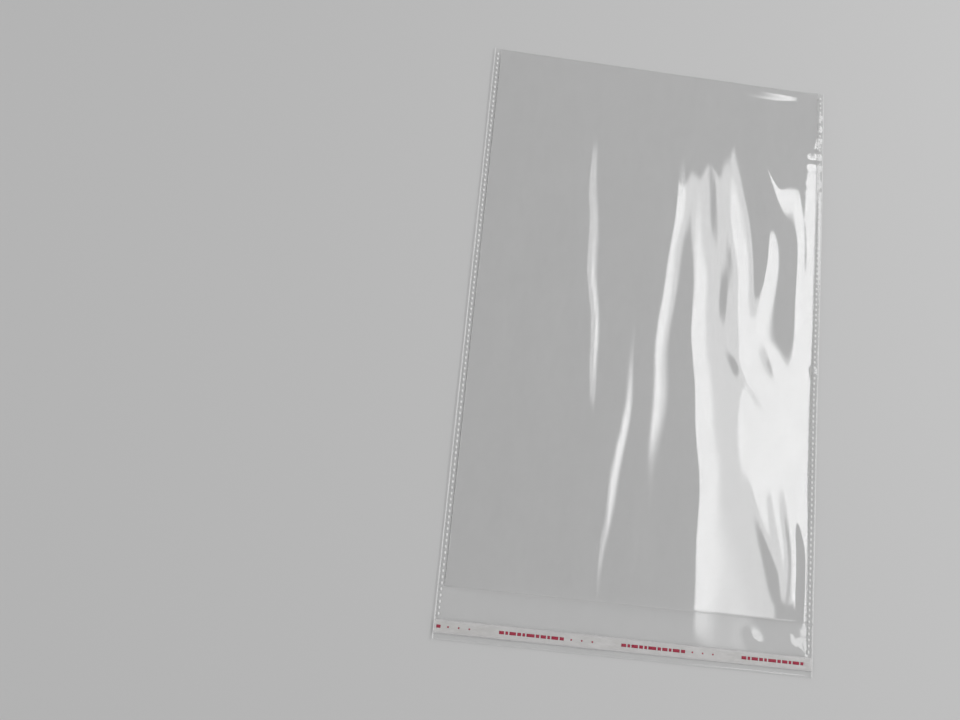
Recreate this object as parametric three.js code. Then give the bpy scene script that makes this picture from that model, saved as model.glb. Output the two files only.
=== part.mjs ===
// A clear self-seal film bag, lying flat with its fold towards +Y and its mouth and flap towards -Y.
// One web of film is folded over at the bottom of the bag and welded down both sides.
// The back panel runs on past the mouth as the flap, which carries a glue line under a release liner.
// Millimetres, +Z up. The origin is the middle of the bag's outline, on the surface that it lies on.

import * as THREE from 'three';
import { mergeVertices, toCreasedNormals } from 'three/addons/utils/BufferGeometryUtils.js';

// The web of film as it is cut and folded.
const bagWidth = 200;
const bodyLength = 312;
const flapLength = 27;
const filmThickness = 0.05;

// The row of small raised weld dots along each side, flap and all, and the weld that it stands in.
const dotInset = 2.1;
const dotPitch = 3.1;
const dotWidth = 1.1;
const dotLength = 1.8;
const dotHeight = 0.15;
const dotCrown = 0.55;
const dotSides = 6;
const dotEndMargin = 1.2;
const weldPastDots = 0.8;

// The air in the bag: how far it holds the front panel up, and how its bulge narrows, and wanders
// sideways, on the way to the fold. Beyond the bulge the two layers cling, a hair apart.
const billowHeight = 5.4;
const mouthGape = 5.2;
const mouthReach = 90;
const billowNarrowing = 0.45;
const billowShift = -8;
const clingGap = 0.25;

// The bottom fold is pressed, not creased hard, so the film goes round it in a shallow bead.
const foldBeadHeight = 0.7;
const foldBeadRun = 2.4;

// Long ridges down the front panel, which wander sideways on their way to the mouth.
// The first list's lie along a weld, measured in from it, and the second's from the middle line.
// A ridge's middle is measured from the mouth, and its reach is how far it runs from there.
const seamRidges = [
    { side: 1, fromWeld: 6.5, lean: 2, width: 20, height: 4.4, middle: 235, reach: 66 },
    { side: 1, fromWeld: 5.5, lean: 1, width: 8, height: 1.6, middle: 165, reach: 40 },
    { side: 1, fromWeld: 5.5, lean: -3, width: 8, height: 2.4, middle: 18, reach: 44 },
    { side: -1, fromWeld: 12.5, lean: 4, width: 8, height: 1.5, middle: 142, reach: 170 },
];
const middleRidges = [
    { at: 50, lean: -7, width: 7, height: 1.3, middle: 182, reach: 80 },
    { at: 29, lean: -6, width: 7, height: 1.2, middle: 122, reach: 130 },
    { at: 8, lean: 6, width: 7, height: 1.3, middle: 182, reach: 130 },
    { at: -14, lean: 6, width: 6, height: 1.5, middle: 92, reach: 120 },
    { at: -37, lean: -6, width: 6, height: 1.9, middle: 202, reach: 110 },
    { at: -60, lean: 6, width: 9, height: 1.1, middle: 92, reach: 120 },
];

// Straight creases that slant across the ridges, from one end to the other, from the bag's middle.
const creases = [
    { from: [50, 160], to: [84, 66], width: 9, height: 2.6 },
    { from: [70, 100], to: [62, 8], width: 5, height: 1.3 },
    { from: [58, -52], to: [86, -150], width: 6, height: 1.2 },
    { from: [-6, 150], to: [12, 60], width: 6, height: 0.7 },
    { from: [-44, 20], to: [-28, -70], width: 6, height: 0.8 },
];

// How sharp a ridge's crest is, and how abruptly the ridges end at the welds and at the fold.
const crestRounding = 0.35;
const weldAbruptness = 7;
const foldAbruptness = 10;

// The glue line near the end of the flap, and the release liner that covers it.
const endMargin = 3.3;
const linerWidth = 7;
const linerThickness = 0.04;
const linerPastGlue = 1;
const glueThickness = 0.03;
const glueSideMargin = 1.5;

// How finely the front panel's curve is cut into facets, and the sharpest turn that is shaded smooth.
const acrossSteps = 56;
const alongSteps = 22;
const smoothTurn = THREE.MathUtils.degToRad(20);

// Where things lie across and along the bag.
const totalLength = bodyLength + flapLength;
const foldEnd = totalLength / 2;
const insideFold = foldEnd - filmThickness;
const flapEnd = -totalLength / 2;
const mouth = flapEnd + flapLength;
const cutEdge = bagWidth / 2;
const weldWidth = dotInset + dotWidth / 2 + weldPastDots;
const weldLine = cutEdge - weldWidth;
const linerMiddle = flapEnd + endMargin + linerWidth / 2;

function evenSteps(from, to, count) {
    return Array.from({ length: count + 1 }, (_, k) => from + ((to - from) * k) / count);
}

const ridges = [
    ...seamRidges.map((ridge) => ({ ...ridge, at: ridge.side * (weldLine - ridge.fromWeld) })),
    ...middleRidges,
];

const bell = (distance, width) => Math.exp(-((distance / width) ** 2));

// A ridge's section: a narrow crest with flanks that ease out on both sides.
function crest(distance, width) {
    return Math.exp(crestRounding - Math.hypot(distance / width, crestRounding));
}

// The wrinkles of the front panel.
function wrinkleHeight(x, y) {
    let height = 0;
    for (const ridge of ridges) {
        const way = (y - mouth - ridge.middle) / ridge.reach;
        const path = ridge.at + ridge.lean * Math.sin((THREE.MathUtils.clamp(way, -1.5, 1.5) * Math.PI) / 2);
        height += ridge.height * bell(way, 1) * crest(x - path, ridge.width);
    }
    for (const crease of creases) {
        const [fromX, fromY] = crease.from;
        const [runX, runY] = [crease.to[0] - fromX, crease.to[1] - fromY];
        const length = Math.hypot(runX, runY);
        const way = ((x - fromX) * runX + (y - fromY) * runY) / length ** 2;
        const beside = ((y - fromY) * runX - (x - fromX) * runY) / length;
        const fade = Math.max(4 * way * (1 - way), 0) ** 2;
        height += crease.height * fade * crest(beside, crease.width);
    }
    const atWeld = Math.abs(x / weldLine) ** weldAbruptness;
    const atFold = ((y - mouth) / (insideFold - mouth)) ** foldAbruptness;
    return height * Math.max(1 - atWeld, 0) * Math.max(1 - atFold, 0);
}

// How far the front panel's inside is off the back one. It fades to nothing at the welds and the fold.
function insideHeight(x, y) {
    const way = (y - mouth) / (insideFold - mouth);
    const middleHeight = billowHeight - (billowHeight - mouthGape) * bell(y - mouth, mouthReach);
    const halfWidth = weldLine * (1 - billowNarrowing * way);
    const out = Math.min(Math.abs(x - billowShift * way) / halfWidth, 1);
    const billow = middleHeight * (1 - way ** 3) * (1 - out ** 3) ** 2;
    const intoBead = Math.min((insideFold - y) / foldBeadRun, 1);
    const bead = intoBead * (2 - intoBead) * (clingGap + (foldBeadHeight - clingGap) * way ** 40);
    const inside = billow + bead * (1 - (x / weldLine) ** 2) + wrinkleHeight(x, y);
    return Math.abs(x) < weldLine ? Math.max(inside, 0) : 0;
}

// The columns crowd towards the welds, where the film turns most, and the rows towards the fold.
const columns = evenSteps(-1, 1, acrossSteps).map((s) => weldLine * Math.sin((s * Math.PI) / 2));
const bodyRows = evenSteps(mouth, foldEnd - foldBeadRun, alongSteps);
const beadRow = foldEnd - foldBeadRun / 2;
const outsideRows = [...bodyRows, beadRow, foldEnd];
const insideRows = [...bodyRows, beadRow, insideFold];

// A closed surface is gathered as loose triangles, and their shared corners are merged at the end.
class Surface {
    corners = [];

    triangle(a, b, c) {
        this.corners.push(...a, ...b, ...c);
    }

    // Two lines of points side by side become a strip that faces the viewer who sees near below far.
    strip(near, far) {
        for (let k = 0; k < near.length - 1; k += 1) {
            this.triangle(near[k], near[k + 1], far[k + 1]);
            this.triangle(near[k], far[k + 1], far[k]);
        }
    }

    // A sheet of film over a grid of places, seen from above, or from below if it is turned over.
    // Each cell is halved on the line that points to the nearer end of the fold.
    sheet(rows, heightAt, turnedOver) {
        const line = (y) => columns.map((x) => [x, y, heightAt(x, y)]);
        for (let j = 0; j < rows.length - 1; j += 1) {
            const [near, far] = [line(rows[j]), line(rows[j + 1])];
            for (let k = 0; k < columns.length - 1; k += 1) {
                const cell = [near[k], near[k + 1], far[k + 1], far[k]];
                const firstCorner = columns[k] >= 0 ? 0 : 1;
                const [a, b, c, d] = [0, 1, 2, 3].map((turn) => cell[(firstCorner + turn) % 4]);
                if (turnedOver) {
                    this.triangle(a, c, b);
                    this.triangle(a, d, c);
                } else {
                    this.triangle(a, b, c);
                    this.triangle(a, c, d);
                }
            }
        }
    }

    // A flat face with holes. place takes its two flat coordinates into space.
    face(outline, holes, place, turnedOver) {
        const toVectors = (ring) => ring.map(([u, v]) => new THREE.Vector2(u, v));
        const rings = [outline, ...holes].map(toVectors);
        const all = rings.flat();
        for (const [a, b, c] of THREE.ShapeUtils.triangulateShape(rings[0], rings.slice(1))) {
            const turnsLeft = THREE.ShapeUtils.area([all[a], all[b], all[c]]) > 0;
            const [p, q, r] = [a, b, c].map((k) => place(all[k].x, all[k].y));
            if (turnsLeft === turnedOver) {
                this.triangle(p, r, q);
            } else {
                this.triangle(p, q, r);
            }
        }
    }

    toGeometry() {
        const geometry = new THREE.BufferGeometry();
        geometry.setAttribute('position', new THREE.Float32BufferAttribute(this.corners, 3));
        return toCreasedNormals(mergeVertices(geometry, 1e-5), smoothTurn);
    }
}

// The places of the weld dots along one side. None lies across the mouth or under the liner.
function dotRows() {
    const span = totalLength - 2 * dotEndMargin - dotLength;
    const count = Math.floor(span / dotPitch) + 1;
    const first = (-(count - 1) * dotPitch) / 2;
    const places = Array.from({ length: count }, (_, k) => first + k * dotPitch);
    const clearOf = (y, middle, width) => Math.abs(y - middle) > (width + dotLength) / 2;
    return places.filter((y) => clearOf(y, mouth, 0.2) && clearOf(y, linerMiddle, linerWidth));
}

function dotRing(x, y, share) {
    return Array.from({ length: dotSides }, (_, k) => {
        const turn = (k * 2 * Math.PI) / dotSides;
        return [x + (share * dotWidth * Math.sin(turn)) / 2, y + (share * dotLength * Math.cos(turn)) / 2];
    });
}

// Adds the beads of one row to the surface and gives the rings where they stand on the film.
function raiseDots(surface, side, places, height) {
    const x = side * (cutEdge - dotInset);
    return places.map((y) => {
        const foot = dotRing(x, y, 1);
        const crown = dotRing(x, y, dotCrown);
        const around = (ring, z) => [...ring, ring[0]].map(([u, v]) => [u, v, z]).reverse();
        surface.strip(around(foot, height), around(crown, height + dotHeight));
        surface.face(crown, [], (u, v) => [u, v, height + dotHeight], false);
        return foot;
    });
}

function filmBag() {
    const surface = new Surface();
    const oneLayer = filmThickness;
    const twoLayers = 2 * filmThickness;
    const sides = [-1, 1];
    const onFlap = dotRows().filter((y) => y < mouth);
    const onBody = dotRows().filter((y) => y > mouth);

    // The front panel, outside and inside, and its free edge at the mouth.
    const outside = (x, y) => twoLayers + (y < foldEnd ? insideHeight(x, y) : 0);
    const inside = (x, y) => oneLayer + insideHeight(x, y);
    surface.sheet(outsideRows, outside, false);
    surface.sheet(insideRows, inside, true);
    surface.strip(
        columns.map((x) => [x, mouth, inside(x, mouth)]),
        columns.map((x) => [x, mouth, outside(x, mouth)]),
    );

    // The underside, the round of the fold and the end of the flap.
    const foldLine = [cutEdge, ...columns.toReversed(), -cutEdge];
    const underside = [[-cutEdge, flapEnd], [cutEdge, flapEnd], ...foldLine.map((x) => [x, foldEnd])];
    surface.face(underside, [], (x, y) => [x, y, 0], true);
    surface.strip(
        foldLine.map((x) => [x, foldEnd, 0]),
        foldLine.map((x) => [x, foldEnd, twoLayers]),
    );
    const endLine = (z) => [-cutEdge, cutEdge].map((x) => [x, flapEnd, z]);
    surface.strip(endLine(0), endLine(oneLayer));

    // The flap's upper face runs on into the bag as the inside of the back panel.
    const upperFace = [
        [-cutEdge, flapEnd],
        [cutEdge, flapEnd],
        [cutEdge, mouth],
        ...insideRows.map((y) => [weldLine, y]),
        ...columns.slice(1, -1).toReversed().map((x) => [x, insideFold]),
        ...insideRows.toReversed().map((y) => [-weldLine, y]),
        [-cutEdge, mouth],
    ];
    const flapDots = sides.flatMap((side) => raiseDots(surface, side, onFlap, oneLayer));
    surface.face(upperFace, flapDots, (x, y) => [x, y, oneLayer], false);

    // The welds: both layers in one, with their dots, the hot-cut edge and the step at the mouth.
    const cutFace = [
        [flapEnd, 0],
        [foldEnd, 0],
        [foldEnd, twoLayers],
        [mouth, twoLayers],
        [mouth, oneLayer],
        [flapEnd, oneLayer],
    ];
    for (const side of sides) {
        const weld = [
            [side * cutEdge, mouth],
            [side * cutEdge, foldEnd],
            ...outsideRows.toReversed().map((y) => [side * weldLine, y]),
        ];
        const bodyDots = raiseDots(surface, side, onBody, twoLayers);
        surface.face(weld, bodyDots, (x, y) => [x, y, twoLayers], false);
        surface.face(cutFace, [], (y, z) => [side * cutEdge, y, z], side < 0);
        const step = (z) => [weldLine, cutEdge].map((x) => [side * x, mouth, z]);
        const [low, high] = side > 0 ? [step(oneLayer), step(twoLayers)] : [step(twoLayers), step(oneLayer)];
        surface.strip(low, high);
    }
    return surface.toGeometry();
}

function flatStrip(width, length, thickness) {
    const strip = new THREE.BoxGeometry(width, length, thickness);
    strip.translate(0, 0, thickness / 2);
    return strip;
}

const clearFilm = new THREE.MeshStandardMaterial({
    color: 0xe8ecee,
    roughness: 0.06,
    metalness: 0,
    transparent: true,
    opacity: 0.35,
});
const clearGlue = new THREE.MeshStandardMaterial({ color: 0xd9d6c4, roughness: 0.35, metalness: 0 });
const milkyLiner = new THREE.MeshStandardMaterial({ color: 0xd4d2d0, roughness: 0.3, metalness: 0 });

function named(name, geometry, material) {
    const mesh = new THREE.Mesh(geometry, material);
    mesh.name = name;
    return mesh;
}

const bag = new THREE.Group();
bag.add(named('film_bag', filmBag(), clearFilm));

const glueWidth = linerWidth - 2 * linerPastGlue;
const glue = named(
    'adhesive_strip',
    flatStrip(bagWidth - 2 * glueSideMargin, glueWidth, glueThickness),
    clearGlue,
);
glue.position.set(0, linerMiddle, filmThickness);
bag.add(glue);

const liner = named('release_liner', flatStrip(bagWidth, linerWidth, linerThickness), milkyLiner);
liner.position.set(0, linerMiddle, filmThickness + glueThickness);
bag.add(liner);

export default bag;
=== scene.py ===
"""Dresses the clear self-seal film bag: its looks, the floor, the studio light and the camera.

The frame is in metres: +X across the bag, +Y towards its fold, +Z up. The bag is made again here
in a finer mesh over the same form as the model's, so its shape is worked out in millimetres.
"""

import math

import bpy
import numpy as np
from mathutils import Matrix, Vector


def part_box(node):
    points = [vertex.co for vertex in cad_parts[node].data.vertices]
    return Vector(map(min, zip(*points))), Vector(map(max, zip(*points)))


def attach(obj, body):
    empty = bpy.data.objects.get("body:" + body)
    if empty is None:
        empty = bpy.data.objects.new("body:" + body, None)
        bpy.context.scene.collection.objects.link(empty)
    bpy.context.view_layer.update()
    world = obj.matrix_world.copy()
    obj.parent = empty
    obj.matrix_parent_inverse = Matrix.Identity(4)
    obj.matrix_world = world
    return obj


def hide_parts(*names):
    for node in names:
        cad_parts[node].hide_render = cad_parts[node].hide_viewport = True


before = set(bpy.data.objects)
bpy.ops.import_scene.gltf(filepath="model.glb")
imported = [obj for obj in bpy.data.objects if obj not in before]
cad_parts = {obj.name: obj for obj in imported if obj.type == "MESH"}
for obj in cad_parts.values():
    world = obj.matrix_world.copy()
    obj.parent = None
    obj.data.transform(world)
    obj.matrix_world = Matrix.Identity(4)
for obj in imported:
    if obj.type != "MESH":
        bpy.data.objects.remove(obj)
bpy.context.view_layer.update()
MM = 0.001

# Where the frame has the bag's edges, the glue line and the liner, in millimetres. The glue line
# lies on the film, so its foot is as high as the film is thick.
film_low, film_high = (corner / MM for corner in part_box("film_bag"))
glue_low, glue_high = (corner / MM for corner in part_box("adhesive_strip"))
liner_low, liner_high = (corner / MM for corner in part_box("release_liner"))
CUT_EDGE = film_high.x
FOLD_END = film_high.y
FLAP_END = film_low.y
FILM = glue_low.z

# The flap, the weld dots, the weld and the bead that the hot blade leaves along the cut.
FLAP_LENGTH = 27
DOT_INSET = 2.1
DOT_PITCH = 3.1
DOT_WIDTH = 1.1
DOT_LENGTH = 1.8
DOT_HEIGHT = 0.15
DOT_END_MARGIN = 1.2
WELD_PAST_DOTS = 0.8
CUT_BEAD_WIDTH = 0.35
CUT_BEAD_HEIGHT = 0.12

INSIDE_FOLD = FOLD_END - FILM
MOUTH = FLAP_END + FLAP_LENGTH
WELD_LINE = CUT_EDGE - DOT_INSET - DOT_WIDTH / 2 - WELD_PAST_DOTS

# A dot's rings from its foot up, by their size and height, and the cut bead's section, by the
# distance from the edge and the height. All are shares of the dot's or the bead's own sizes.
DOT_RINGS = ((1.0, -0.25), (0.85, 0.5), (0.5, 0.88))
CUT_BEAD_SECTION = ((0, -0.3), (0, 0.55), (0.3, 1.0), (0.7, 1.0), (1.0, 0.55), (1.0, -0.3))

# The air between the two layers, and the shallow bead of the pressed fold. The billow is 0.4 mm
# lower than the model's, which leaves room for the ripples within the model's height.
BILLOW_HEIGHT = 5.0
MOUTH_GAPE = 4.8
MOUTH_REACH = 90
BILLOW_NARROWING = 0.45
BILLOW_SHIFT = -8
BILLOW_FULLNESS = 3
CLING_GAP = 0.25
FOLD_BEAD_HEIGHT = 0.7
FOLD_BEAD_RUN = 2.4
FOLD_BEAD_ABRUPTNESS = 40

# Long ridges. The first list's are measured in from a weld: side, distance from the weld, lean,
# width, height, middle from the mouth and reach. The second's are measured from the middle line.
# The first one is 1.2 mm lower than the model's, because an added crease runs along its top.
SEAM_RIDGES = (
    (1, 6.5, 2, 20, 3.2, 235, 66),
    (1, 5.5, 1, 8, 1.6, 165, 40),
    (1, 5.5, -3, 8, 2.4, 18, 44),
    (-1, 12.5, 4, 8, 1.5, 142, 170),
)
MIDDLE_RIDGES = (
    (50, -7, 7, 1.3, 182, 80),
    (29, -6, 7, 1.2, 122, 130),
    (8, 6, 7, 1.3, 182, 130),
    (-14, 6, 6, 1.5, 92, 120),
    (-37, -6, 6, 1.9, 202, 110),
    (-60, 6, 9, 1.1, 92, 120),
)

# How far from its middle a ridge goes on swinging over, in shares of its reach, how rounded the
# tops of ridges and creases are, and how late they fade out towards the welds and the fold.
RIDGE_SWING_END = 1.5
CREST_ROUNDING = 0.35
WELD_ABRUPTNESS = 7
FOLD_ABRUPTNESS = 10

# Creases from one end to the other: the ends, width and height. The first list's are the model's,
# the second's are made only here, and the third's reach the edges.
CREASES = (
    (50, 160, 84, 66, 9, 2.6),
    (70, 100, 62, 8, 5, 1.3),
    (58, -52, 86, -150, 6, 1.2),
    (-6, 150, 12, 60, 6, 0.7),
    (-44, 20, -28, -70, 6, 0.8),
)
ADDED_CREASES = (
    (38, 14, 82, -38, 5, 0.8),
    (90, 150, 84, -22, 7, 2.4),
    (66, 12, 80, -18, 3, 0.5),
    (74, -60, 82, -140, 3, 0.6),
    (86, -62, 93, -150, 6, 1.1),
    (83, -62, 92, -180, 5, 2.6),
    (42, 60, 48, 0, 4, 0.5),
    (33, 140, 40, 40, 4, 0.5),
)
EDGE_CREASES = (
    (86, -147, 91, -161, 1.2, 0.5),
    (92.5, -150, 97, -164, 1.1, 0.5),
    (64, -146, 72, -158, 1.6, 0.3),
    (84, 172, 97, 150, 1.3, 0.5),
    (91, 171, 99, 153, 1.0, 0.4),
    (94, 0, 102, -9, 1.3, 0.7),
    (48, 166, 92, 166, 1.4, 0.35),
    (97, 240, 97, -20, 7, 1.8),
)

# The faint unevenness of the whole web: how high it lies in the mean, and its waves. A run is the
# distance in which a wave turns by one radian. Slanting waves have a height, a run across and a run
# along the bag, and a start. Winding ones have a height, a run across, how far and with what run
# they sway from side to side, and a start. They come and go with a slanting wave of height 1.
WEB_LIFT = 0.12
SLANTING_WAVES = ((0.03, 6.3, 19, 2.1), (0.025, 5.2, -27, 4.0))
SLOW_WAVES = (0.05, 9.1, 1.2, 37, 0.4)
SLOW_WAVES_COME_AND_GO = (1, math.inf, 41, 0.8)
RIPPLES = (0.05, 4.7, 0.9, 23, 0)
RIPPLES_COME_AND_GO = (1, 40, 29, 0)

# How far the ridges, creases and ripples wander off their paths, and with which slanting waves.
WANDER = 1.2
WANDER_WAVES = ((1, 31, 23, 0.6), (0.5, -19, 9.3, 2))

# The gathers along the welds: their mean height, height, how far in from the edge they reach, and
# how strong they are. A wave along a weld has a height, a run and a start.
GATHER_LIFT = 0.13
GATHER_HEIGHT = 0.06
GATHER_REACH = 6
GATHER_STRENGTH = 0.6
STRENGTH_WAVE = (0.4, 23, 2)
COARSE_GATHERS = (1, 1.37, 1)
FINE_GATHERS = (0.8, 0.98, 2.2)
FINE_GATHER_SWAY = (0.7, 9, 0)

# The uneven lift of the cut edges, and how far in it reaches.
EDGE_LIFT = 0.16
EDGE_LIFT_REACH = 9
EDGE_LIFT_WAVE = (1, 17, 1)

# How steeply the welds turn up, from a little inside their lines. Where the right one puckers, it
# lies flat and its gathers are stronger.
WELD_CURL = 0.12
CURL_WITHIN_LINE = 1
PUCKER_AT = 125
PUCKER_RUN = 30

# The marks printed on the liner: how high, and how the groups repeat along it. The liner is cut
# from a long roll, so a group may be cut off at either end.
PRINT_HEIGHT = 1.6
PRINT_THICKNESS = 0.01
PRINT_START = -30
PRINT_END_MARGIN = 1
PRINT_REPEAT = 64
PRINT_BARS = (2.6, 1.4, 3.4, 2.0, 1.4, 4.2, 1.8, 2.8, 1.4, 3.6, 2.2)
PRINT_BAR_GAP = 0.7
PRINT_DOTS = 3
PRINT_DOT_SIZE = PRINT_HEIGHT / 2
PRINT_DOT_GAP = 5.5

# How finely the pieces are cut into faces. The film's columns are crowded towards the welds, apart
# from their even share. Points are told apart to a ten-thousandth of a millimetre.
COLUMNS = 106
EVEN_SHARE = 0.45
WELD_COLUMNS = 5
BODY_ROWS = 196
FOLD_BEAD_ROWS = 5
FLAP_ROWS = 20
DOT_SIDES = 10
CUT_BEAD_FLAP_ROWS = 19
CUT_BEAD_BODY_ROWS = 207
STRIP_COLUMNS = 160
STRIP_ROWS = 6
MARK_COLUMNS = 3
MARK_ROWS = 2
POINT_STEPS_TO_THE_MM = 10000

# The clear film: what it lets through, the colour of its haze and the least and most of it, and
# how much it mirrors, face on and at grazing angles, where a high power makes the share grow late.
# The haze and the draw lines are noises with so many waves to the metre along X, Y and Z, and the
# draw lines are a relief, in millimetres. The neutral blend leaves the angle as it is.
FILM_CLEAR = 0.985
FILM_HAZE_COLOUR = 0.95
FILM_HAZE = (0.004, 0.03)
FILM_HAZE_GRAIN = (45, 18, 18)
FILM_HAZE_DETAIL = 3
FILM_MIRROR = (0.045, 1.0)
FILM_MIRROR_POWER = 5
NEUTRAL_BLEND = 0.5
FILM_ROUGHNESS = 0.025
DRAW_LINE_GRAIN = (130, 7, 7)
DRAW_LINE_DETAIL = 2
DRAW_LINE_RELIEF = 0.006

# The other materials: colour, least roughness, least and most opacity, the waves to the metre of
# their grain along X, Y and Z, and its relief in millimetres.
MOTTLED_LOOKS = {
    "whitened_film": ((0.95, 0.95, 0.95), 0.2, (0.85, 1), (900, 900, 900), 0.01),
    "milky_liner": ((0.85, 0.84, 0.84), 0.22, (0.45, 0.62), (90, 260, 90), 0.004),
    "clear_glue": ((0.85, 0.83, 0.76), 0.3, (0.2, 0.38), (220, 700, 220), 0.01),
    "red_ink": ((0.45, 0.02, 0.06), 0.4, (0.7, 0.95), (1500, 1500, 1500), 0.002),
}
MOTTLED_DETAIL = 3
MOST_OVER_LEAST_ROUGHNESS = 1.5

# The middle of a noise, which is spread over the whole of a look's range.
NOISE_MIDDLE = (0.3, 0.7)

# The floor, by its size in metres, its drop in millimetres below the bag and its looks, and the
# strength of the light from all sides.
FLOOR_SIZE = 6
FLOOR_DROP = 0.3
FLOOR_GREY = 0.66
FLOOR_ROUGHNESS = 0.9
WORLD_STRENGTH = 0.5

# The softboxes: place and size in metres, radiance, and how far each one fades in from its -X, +X,
# -Y and +Y edges, in shares of its size. The last value says whether it is turned to the bag.
EVEN_FADE = (0.2, 0.2, 0.2, 0.2)
SOFTBOXES = (
    ("softbox_right", (0.76, 0.29, 1.0), (0.8, 0.9), 2.8, (0.1, 0.05, 0.03, 0.03), False),
    ("softbox_left", (-1.0, 0.1, 0.9), (0.5, 0.7), 1.5, EVEN_FADE, True),
    ("softbox_front", (0.25, -1.3, 0.85), (0.7, 0.35), 1.1, EVEN_FADE, True),
    ("softbox_low", (0.95, -0.95, 0.42), (0.55, 0.18), 0.8, EVEN_FADE, True),
)

# The photograph's viewpoint, above, in front and a little to the left of the bag: its place in
# millimetres, the way it looks and its roll in degrees, the focal length and the picture's width
# in pixels, and the sensor's width in millimetres.
CAMERA_PLACE = (-131.1, -167.1, 558.8)
CAMERA_AZIMUTH = 15.63
CAMERA_ELEVATION = 74.75
CAMERA_ROLL = 22.06
FOCAL_PIXELS = 1061
PICTURE_WIDTH = 960
SENSOR_WIDTH = 36

# How many clear surfaces a ray may pass.
TRANSPARENT_BOUNCES = 32


def bell(distance, width):
    """A smooth hump of height 1."""
    return np.exp(-((distance / width) ** 2))


def crest(distance, width):
    """A hump of height 1 with a narrow top."""
    return np.exp(CREST_ROUNDING - np.hypot(distance / width, CREST_ROUNDING))


def crease(x, y, row):
    """The height of a crease, which fades out towards both of its ends."""
    from_x, from_y, to_x, to_y, width, height = row
    run_x, run_y = to_x - from_x, to_y - from_y
    length = math.hypot(run_x, run_y)
    way = ((x - from_x) * run_x + (y - from_y) * run_y) / length**2
    beside = ((y - from_y) * run_x - (x - from_x) * run_y) / length
    return height * np.maximum(4 * way * (1 - way), 0) ** 2 * crest(beside, width)


def slanting_wave(x, y, row):
    """A wave that crosses the bag at a slant."""
    height, run_across, run_along, start = row
    return height * np.sin(x / run_across + y / run_along + start)


def winding_wave(x, y, row):
    """A wave across the bag whose crests sway from side to side along it."""
    height, run_across, sway, sway_run, start = row
    return height * np.sin(x / run_across + sway * np.sin(y / sway_run) + start)


def weld_wave(y, side, row, sway=0):
    """A wave along a weld, with an opposite start at the left one, so that the two differ."""
    height, run, start = row
    return height * np.sin(y / run + start * side + sway)


def unevenness(x, y):
    """The faint unevenness of the whole web."""
    slow = winding_wave(x, y, SLOW_WAVES) * slanting_wave(x, y, SLOW_WAVES_COME_AND_GO)
    slanting = sum(slanting_wave(x, y, row) for row in SLANTING_WAVES)
    return WEB_LIFT + slow + slanting


def seam_gathers(x, y):
    """Small gathers across each weld, where its heat has shrunk the film, its lift and its curl."""
    side = np.sign(x)
    from_edge = CUT_EDGE - np.abs(x)
    pucker = bell(y - PUCKER_AT, PUCKER_RUN) * (side > 0)
    strength = GATHER_STRENGTH + weld_wave(y, side, STRENGTH_WAVE) + pucker
    sway = weld_wave(y, side, FINE_GATHER_SWAY)
    gathers = weld_wave(y, side, COARSE_GATHERS) + weld_wave(y, side, FINE_GATHERS, sway)
    height = GATHER_LIFT + GATHER_HEIGHT * strength * gathers
    lift = EDGE_LIFT * (1 + weld_wave(y, side, EDGE_LIFT_WAVE)) * bell(from_edge, EDGE_LIFT_REACH)
    past_curl_line = np.maximum(np.abs(x) - WELD_LINE + CURL_WITHIN_LINE, 0)
    curl = WELD_CURL * (1 - pucker) * past_curl_line
    return height * bell(from_edge, GATHER_REACH) + lift + curl


def web_height(x, y):
    """How far the back layer lies off the table. The front layer follows the same ridges."""
    from_mouth = y - MOUTH
    wandered = x + WANDER * sum(slanting_wave(x, y, row) for row in WANDER_WAVES)
    seam_ridges = [(side * (WELD_LINE - inset), *rest) for side, inset, *rest in SEAM_RIDGES]
    height = unevenness(x, y)
    for at, lean, width, rise, middle, reach in (*seam_ridges, *MIDDLE_RIDGES):
        way = (from_mouth - middle) / reach
        path = at + lean * np.sin(np.clip(way, -RIDGE_SWING_END, RIDGE_SWING_END) * math.pi / 2)
        height = height + rise * bell(way, 1) * crest(wandered - path, width)
    for row in (*CREASES, *ADDED_CREASES):
        height = height + crease(wandered, y, row)
    height = height + winding_wave(wandered, y, RIPPLES) * slanting_wave(x, y, RIPPLES_COME_AND_GO)
    at_weld = np.clip(np.abs(x) / WELD_LINE, 0, 1) ** WELD_ABRUPTNESS
    at_fold = np.clip(from_mouth / (INSIDE_FOLD - MOUTH), 0, 1) ** FOLD_ABRUPTNESS
    height = height * (1 - at_weld) * (1 - at_fold) + seam_gathers(x, y)
    for row in EDGE_CREASES:
        height = height + crease(x, y, row)
    return np.maximum(height, 0)


def air_gap(x, y):
    """How far the air holds the front layer off the back one."""
    way = np.clip((y - MOUTH) / (INSIDE_FOLD - MOUTH), 0, 1)
    middle_height = BILLOW_HEIGHT - (BILLOW_HEIGHT - MOUTH_GAPE) * bell(y - MOUTH, MOUTH_REACH)
    half_width = WELD_LINE * (1 - BILLOW_NARROWING * way)
    out = np.minimum(np.abs(x - BILLOW_SHIFT * way) / half_width, 1)
    billow = middle_height * (1 - way**BILLOW_FULLNESS) * (1 - out**BILLOW_FULLNESS) ** 2
    into_bead = np.clip((INSIDE_FOLD - y) / FOLD_BEAD_RUN, 0, 1)
    bead_height = CLING_GAP + (FOLD_BEAD_HEIGHT - CLING_GAP) * way**FOLD_BEAD_ABRUPTNESS
    bead = into_bead * (2 - into_bead) * bead_height
    return billow + bead * (1 - np.clip(np.abs(x) / WELD_LINE, 0, 1) ** 2)


def back_top(x, y):
    return web_height(x, y) + FILM


def front_inside(x, y):
    return back_top(x, y) + air_gap(x, y)


def front_outside(x, y):
    return front_inside(x, y) + FILM


def top_of_weld(x, y):
    return web_height(x, y) + np.where(y > MOUTH, 2 * FILM, FILM)


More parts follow.
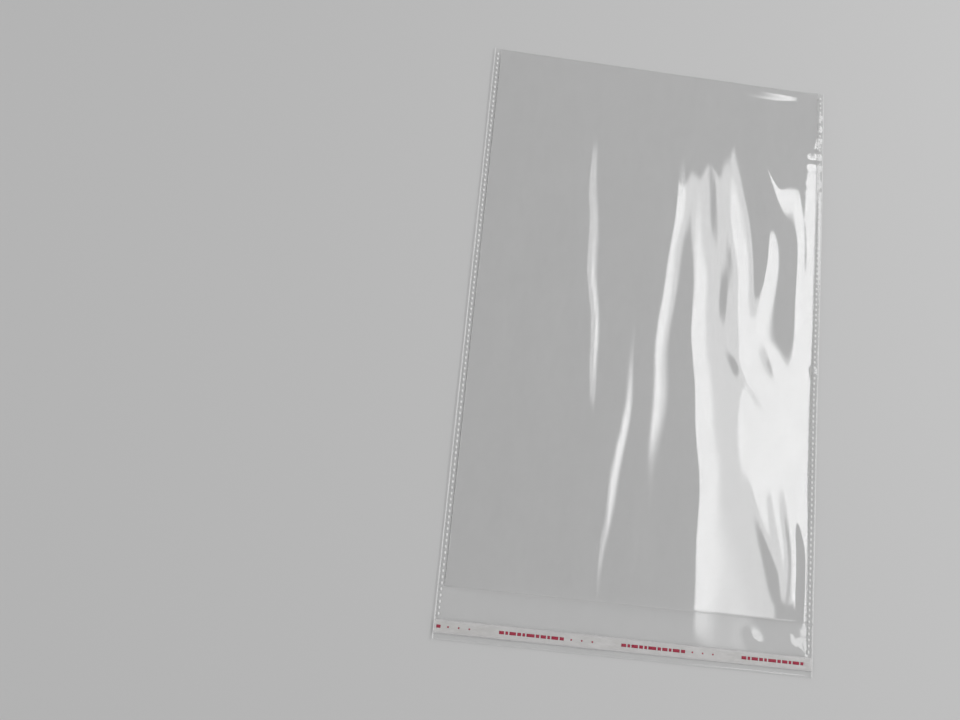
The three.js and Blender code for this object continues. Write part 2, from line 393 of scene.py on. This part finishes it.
class Shell:
    """Points and faces of closed pieces. Points at the same place are shared."""

    def __init__(self):
        self.points = []
        self.faces = []
        self.known = {}

    def point(self, place):
        key = tuple(round(float(c) * POINT_STEPS_TO_THE_MM) for c in place)
        if key not in self.known:
            self.known[key] = len(self.points)
            self.points.append([float(c) * MM for c in place])
        return self.known[key]

    def face(self, corners):
        """A face between corners that turn to the left. One with fewer than three is left out."""
        used = list(dict.fromkeys(self.point(c) for c in corners))
        if len(used) > 2:
            self.faces.append(used)

    def strip(self, near, far):
        """A row of faces between two lines, seen with near below far and running to the right."""
        for k in range(len(near) - 1):
            self.face((near[k], near[k + 1], far[k + 1], far[k]))

    def sheet(self, xs, ys, height_at, turned_over=False):
        """A grid of faces at the heights of a function. Turned over, it faces down."""
        grid_x, grid_y = np.meshgrid(xs, ys)
        grid = np.stack([grid_x, grid_y, height_at(grid_x, grid_y)], -1)
        for near, far in zip(grid, grid[1:]):
            if turned_over:
                near, far = far, near
            self.strip(near, far)

    def wall(self, xs, ys, low_at, high_at):
        """An upright strip between two heights along a line, seen from the line's right."""
        xs, ys = np.broadcast_arrays(np.asarray(xs, float), np.asarray(ys, float))
        self.strip(np.stack([xs, ys, low_at(xs, ys)], -1), np.stack([xs, ys, high_at(xs, ys)], -1))

    def slab(self, low, high, columns, rows):
        """A closed flat strip that lies on the flap and follows its waves."""
        xs = np.linspace(low[0], high[0], columns + 1)
        ys = np.linspace(low[1], high[1], rows + 1)

        def under(x, y):
            return web_height(x, y) + low[2]

        def over(x, y):
            return web_height(x, y) + high[2]

        self.sheet(xs, ys, over)
        self.sheet(xs, ys, under, turned_over=True)
        self.wall(xs, low[1], under, over)
        self.wall(xs[::-1], high[1], under, over)
        self.wall(high[0], ys, under, over)
        self.wall(low[0], ys[::-1], under, over)

    def to_object(self, name, material):
        mesh = bpy.data.meshes.new(name)
        mesh.from_pydata(self.points, [], self.faces)
        mesh.materials.append(material)
        mesh.polygons.foreach_set("use_smooth", [True] * len(mesh.polygons))
        made = bpy.data.objects.new(name, mesh)
        bpy.context.scene.collection.objects.link(made)
        return made


def film_bag(material):
    """One web of film: back layer, front layer, the fold, both welds and the flap."""
    shell = Shell()
    steps = np.linspace(-1, 1, COLUMNS + 1)
    crowded = np.sin(steps * math.pi / 2)
    columns = WELD_LINE * (EVEN_SHARE * steps + (1 - EVEN_SHARE) * crowded)
    weld = np.linspace(WELD_LINE, CUT_EDGE, WELD_COLUMNS + 1)
    all_columns = np.concatenate([-weld[:0:-1], columns, weld[1:]])
    rows = np.linspace(MOUTH, FOLD_END - FOLD_BEAD_RUN, BODY_ROWS + 1)
    from_fold = np.arange(FOLD_BEAD_ROWS - 1, 0, -1) / FOLD_BEAD_ROWS
    bead_rows = np.concatenate([rows, FOLD_END - FOLD_BEAD_RUN * from_fold])
    outside_rows = np.append(bead_rows, FOLD_END)
    inside_rows = np.append(bead_rows, INSIDE_FOLD)
    flap_rows = np.linspace(FLAP_END, MOUTH, FLAP_ROWS + 1)

    shell.sheet(all_columns, outside_rows, front_outside)
    shell.sheet(columns, inside_rows, front_inside, turned_over=True)
    shell.sheet(columns, inside_rows, back_top)
    shell.sheet(all_columns, flap_rows, back_top)
    all_rows = np.append(flap_rows, outside_rows[1:])
    shell.sheet(all_columns, all_rows, web_height, turned_over=True)
    shell.wall(columns, MOUTH, front_inside, front_outside)
    shell.wall(weld, MOUTH, back_top, front_outside)
    shell.wall(-weld[::-1], MOUTH, back_top, front_outside)
    shell.wall(all_columns, FLAP_END, web_height, back_top)
    # The outer walls have one level for each layer, so that they share every point at the corners.
    for ys, low, high in ((all_rows, web_height, back_top), (outside_rows, back_top, front_outside)):
        shell.wall(CUT_EDGE, ys, low, high)
        shell.wall(-CUT_EDGE, ys[::-1], low, high)
        shell.wall(all_columns[::-1], FOLD_END, low, high)
    return shell.to_object("bag_film", material)


def dot_places():
    """Where the weld dots are along a weld: evenly spaced, but not on the mouth or the liner."""
    half_dot = DOT_LENGTH / 2
    span = FOLD_END - FLAP_END - 2 * DOT_END_MARGIN - DOT_LENGTH
    count = math.floor(span / DOT_PITCH) + 1
    places = (np.arange(count) - (count - 1) / 2) * DOT_PITCH
    clear_of_mouth = np.abs(places - MOUTH) > half_dot
    clear_of_liner = (places < liner_low.y - half_dot) | (places > liner_high.y + half_dot)
    return places[clear_of_mouth & clear_of_liner]


def add_dot(shell, x, y):
    """A small rounded bead whose foot is sunk in the weld."""
    turns = np.linspace(0, 2 * math.pi, DOT_SIDES + 1)
    rings = []
    for share, rise in DOT_RINGS:
        ring_x = x + share * DOT_WIDTH / 2 * np.cos(turns)
        ring_y = y + share * DOT_LENGTH / 2 * np.sin(turns)
        rings.append(np.stack([ring_x, ring_y, top_of_weld(ring_x, ring_y) + rise * DOT_HEIGHT], -1))
    for low, high in zip(rings, rings[1:]):
        shell.strip(low, high)
    summit = (x, y, top_of_weld(np.array(x), np.array(y)) + DOT_HEIGHT)
    for start, end in zip(rings[-1], rings[-1][1:]):
        shell.face((start, end, summit))
    shell.face(rings[0][:-1][::-1])


def add_cut_bead(shell, side, ys):
    """A thin rounded bead along a cut edge."""
    lines = []
    for across, up in CUT_BEAD_SECTION:
        xs = np.full_like(ys, side * (CUT_EDGE - across * CUT_BEAD_WIDTH))
        lines.append(np.stack([xs, ys, top_of_weld(xs, ys) + up * CUT_BEAD_HEIGHT], -1))
    if side > 0:
        lines.reverse()
    for near, far in zip(lines, lines[1:] + lines[:1]):
        shell.strip(far, near)
    shell.face([line[0] for line in reversed(lines)])
    shell.face([line[-1] for line in lines])


def weld_beads(material):
    """The dots of both welds and the beads along both cut edges, which part at the mouth."""
    shell = Shell()
    for side in (-1, 1):
        for y in dot_places():
            add_dot(shell, side * (CUT_EDGE - DOT_INSET), y)
        add_cut_bead(shell, side, np.linspace(FLAP_END, MOUTH - FILM, CUT_BEAD_FLAP_ROWS + 1))
        add_cut_bead(shell, side, np.linspace(MOUTH + FILM, FOLD_END, CUT_BEAD_BODY_ROWS + 1))
    return shell.to_object("weld_beads", material)


def flap_strip(name, low, high, material):
    """The liner or the glue line, between the corners that the frame has for it."""
    shell = Shell()
    shell.slab(low, high, STRIP_COLUMNS, STRIP_ROWS)
    return shell.to_object(name, material)


def liner_print(material):
    """Plain dark red bars and dots along the liner."""
    shell = Shell()
    middle = (liner_low.y + liner_high.y) / 2
    first, last = liner_low.x + PRINT_END_MARGIN, liner_high.x - PRINT_END_MARGIN
    start = liner_low.x + PRINT_START

    def mark(from_x, width, height):
        if from_x > first and from_x + width < last:
            low = (from_x, middle - height / 2, liner_high.z)
            high = (from_x + width, middle + height / 2, liner_high.z + PRINT_THICKNESS)
            shell.slab(low, high, MARK_COLUMNS, MARK_ROWS)

    while start < liner_high.x:
        x = start
        for width in PRINT_BARS:
            mark(x, width, PRINT_HEIGHT)
            x += width + PRINT_BAR_GAP
        for dot in range(PRINT_DOTS):
            mark(x + (dot + 0.5) * PRINT_DOT_GAP, PRINT_DOT_SIZE, PRINT_DOT_SIZE)
        start += PRINT_REPEAT
    return shell.to_object("liner_print", material)


def new_material(name):
    """A material with an output and nothing else, its nodes, its links and the output's socket."""
    material = bpy.data.materials.new(name)
    material.use_nodes = True
    nodes = material.node_tree.nodes
    nodes.clear()
    output = nodes.new("ShaderNodeOutputMaterial")
    return material, nodes, material.node_tree.links, output.inputs["Surface"]


def add_node(nodes, kind, values):
    """A shader node with these values on its sockets, by their names or numbers."""
    node = nodes.new("ShaderNode" + kind)
    for socket, value in values.items():
        node.inputs[socket].default_value = value
    return node


def grey(level):
    """The value of a colour socket."""
    return (level, level, level, 1)


def stretched_noise(nodes, links, scale, detail):
    """Noise with so many waves to the metre along X, Y and Z."""
    place = nodes.new("ShaderNodeTexCoord")
    stretch = add_node(nodes, "Mapping", {"Scale": scale})
    noise = add_node(nodes, "TexNoise", {"Scale": 1, "Detail": detail})
    links.new(place.outputs["Object"], stretch.inputs["Vector"])
    links.new(stretch.outputs[0], noise.inputs["Vector"])
    return noise.outputs["Fac"]


def mapped(nodes, links, value, low, high):
    """Spreads the middle of a noise over a range."""
    middle_low, middle_high = NOISE_MIDDLE
    limits = {"From Min": middle_low, "From Max": middle_high, "To Min": low, "To Max": high}
    spread = add_node(nodes, "MapRange", limits)
    links.new(value, spread.inputs["Value"])
    return spread.outputs[0]


def film_material():
    """Clear film: see-through, with a mirror share that grows towards grazing angles, and haze."""
    material, nodes, links, surface = new_material("clear_film")
    facing = add_node(nodes, "LayerWeight", {"Blend": NEUTRAL_BLEND})
    power = add_node(nodes, "Math", {1: FILM_MIRROR_POWER})
    power.operation = "POWER"
    face_on, grazing = FILM_MIRROR
    share = add_node(nodes, "MapRange", {"To Min": face_on, "To Max": grazing})
    clear = add_node(nodes, "BsdfTransparent", {"Color": grey(FILM_CLEAR)})
    hazy = add_node(nodes, "BsdfDiffuse", {"Color": grey(FILM_HAZE_COLOUR)})
    body = nodes.new("ShaderNodeMixShader")
    draw_lines = stretched_noise(nodes, links, DRAW_LINE_GRAIN, DRAW_LINE_DETAIL)
    haze_noise = stretched_noise(nodes, links, FILM_HAZE_GRAIN, FILM_HAZE_DETAIL)
    haze = mapped(nodes, links, haze_noise, *FILM_HAZE)
    bump = add_node(nodes, "Bump", {"Distance": DRAW_LINE_RELIEF * MM})
    gloss = add_node(nodes, "BsdfAnisotropic", {"Roughness": FILM_ROUGHNESS, "Color": grey(1)})
    whole = nodes.new("ShaderNodeMixShader")
    links.new(draw_lines, bump.inputs["Height"])
    links.new(bump.outputs[0], gloss.inputs["Normal"])
    links.new(haze, body.inputs["Fac"])
    links.new(facing.outputs["Facing"], power.inputs[0])
    links.new(power.outputs[0], share.inputs["Value"])
    links.new(clear.outputs[0], body.inputs[1])
    links.new(hazy.outputs[0], body.inputs[2])
    links.new(share.outputs[0], whole.inputs["Fac"])
    links.new(body.outputs[0], whole.inputs[1])
    links.new(gloss.outputs[0], whole.inputs[2])
    links.new(whole.outputs[0], surface)
    return material


def mottled_material(name):
    """A surface whose density wanders between two opacities, over a faint relief of the same grain."""
    colour, roughness, opacities, scale, relief = MOTTLED_LOOKS[name]
    material, nodes, links, surface = new_material(name)
    shader = add_node(nodes, "BsdfPrincipled", {"Base Color": (*colour, 1)})
    grain = stretched_noise(nodes, links, scale, MOTTLED_DETAIL)
    bump = add_node(nodes, "Bump", {"Distance": relief * MM})
    links.new(grain, bump.inputs["Height"])
    links.new(bump.outputs[0], shader.inputs["Normal"])
    links.new(mapped(nodes, links, grain, *opacities), shader.inputs["Alpha"])
    roughest = roughness * MOST_OVER_LEAST_ROUGHNESS
    links.new(mapped(nodes, links, grain, roughness, roughest), shader.inputs["Roughness"])
    links.new(shader.outputs[0], surface)
    return material


def floor_material():
    """Plain, pale and matt."""
    material, nodes, links, surface = new_material("pale_floor")
    looks = {"Base Color": grey(FLOOR_GREY), "Roughness": FLOOR_ROUGHNESS}
    shader = add_node(nodes, "BsdfPrincipled", looks)
    links.new(shader.outputs[0], surface)
    return material


def add_floor():
    bpy.ops.mesh.primitive_plane_add(size=FLOOR_SIZE, location=(0, 0, -FLOOR_DROP * MM))
    floor = bpy.context.object
    floor.name = "floor"
    floor.data.materials.append(floor_material())


def add_softbox(name, place, size, radiance, fade, turned_to_bag):
    """A lamp whose even face has this radiance and fades out towards its edges."""
    light = bpy.data.lights.new(name, "AREA")
    light.shape = "RECTANGLE"
    light.size, light.size_y = size
    light.energy = radiance * math.pi * size[0] * size[1]
    light.use_nodes = True
    nodes = light.node_tree.nodes
    links = light.node_tree.links
    face = nodes.new("ShaderNodeNewGeometry")
    across = nodes.new("ShaderNodeSeparateXYZ")
    links.new(face.outputs["Parametric"], across.inputs[0])
    strength = None
    for axis, (near, far) in enumerate((fade[:2], fade[2:])):
        for start, end in ((0, near), (1, 1 - far)):
            ease = add_node(nodes, "MapRange", {"From Min": start, "From Max": end})
            ease.interpolation_type = "SMOOTHSTEP"
            links.new(across.outputs[axis], ease.inputs["Value"])
            if strength is None:
                strength = ease.outputs[0]
                continue
            both = nodes.new("ShaderNodeMath")
            both.operation = "MULTIPLY"
            links.new(strength, both.inputs[0])
            links.new(ease.outputs[0], both.inputs[1])
            strength = both.outputs[0]
    links.new(strength, nodes["Emission"].inputs["Strength"])
    holder = bpy.data.objects.new(name, light)
    holder.location = place
    if turned_to_bag:
        holder.rotation_mode = "QUATERNION"
        holder.rotation_quaternion = (-Vector(place)).to_track_quat("-Z", "Y")
    bpy.context.scene.collection.objects.link(holder)


def add_world():
    world = bpy.data.worlds.new("studio")
    world.use_nodes = True
    background = world.node_tree.nodes["Background"]
    background.inputs["Color"].default_value = grey(1)
    background.inputs["Strength"].default_value = WORLD_STRENGTH
    bpy.context.scene.world = world


def add_camera():
    azimuth = math.radians(CAMERA_AZIMUTH)
    elevation = math.radians(CAMERA_ELEVATION)
    roll = math.radians(CAMERA_ROLL)
    forward = Vector(
        (
            math.sin(azimuth) * math.cos(elevation),
            math.cos(azimuth) * math.cos(elevation),
            -math.sin(elevation),
        )
    )
    right = forward.cross(Vector((0, 0, 1))).normalized()
    up = right.cross(forward)
    turned_right = math.cos(roll) * right + math.sin(roll) * up
    turned_up = math.cos(roll) * up - math.sin(roll) * right
    camera = bpy.data.cameras.new("camera")
    camera.sensor_width = SENSOR_WIDTH
    camera.lens = FOCAL_PIXELS / PICTURE_WIDTH * SENSOR_WIDTH
    holder = bpy.data.objects.new("camera", camera)
    axes = Matrix((turned_right, turned_up, -forward)).transposed()
    holder.matrix_world = Matrix.Translation(Vector(CAMERA_PLACE) * MM) @ axes.to_4x4()
    bpy.context.scene.collection.objects.link(holder)
    bpy.context.scene.camera = holder


def main():
    scene = bpy.context.scene
    scene.view_settings.view_transform = "Standard"
    scene.cycles.transparent_max_bounces = TRANSPARENT_BOUNCES

    clear_film = film_material()
    whitened = mottled_material("whitened_film")
    milky = mottled_material("milky_liner")
    tacky = mottled_material("clear_glue")
    red_ink = mottled_material("red_ink")

    pieces = (
        (film_bag(clear_film), "clear_film", "film_bag"),
        (weld_beads(whitened), "clear_film", None),
        (flap_strip("liner", liner_low, liner_high, milky), "milky_liner", "release_liner"),
        (flap_strip("glue_line", glue_low, glue_high, tacky), "clear_glue", "adhesive_strip"),
        (liner_print(red_ink), "milky_liner", None),
    )
    for piece, slot, node in pieces:
        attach(piece, "root")
        if node:
            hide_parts(node)

    add_floor()
    add_world()
    for softbox in SOFTBOXES:
        add_softbox(*softbox)
    add_camera()


main()
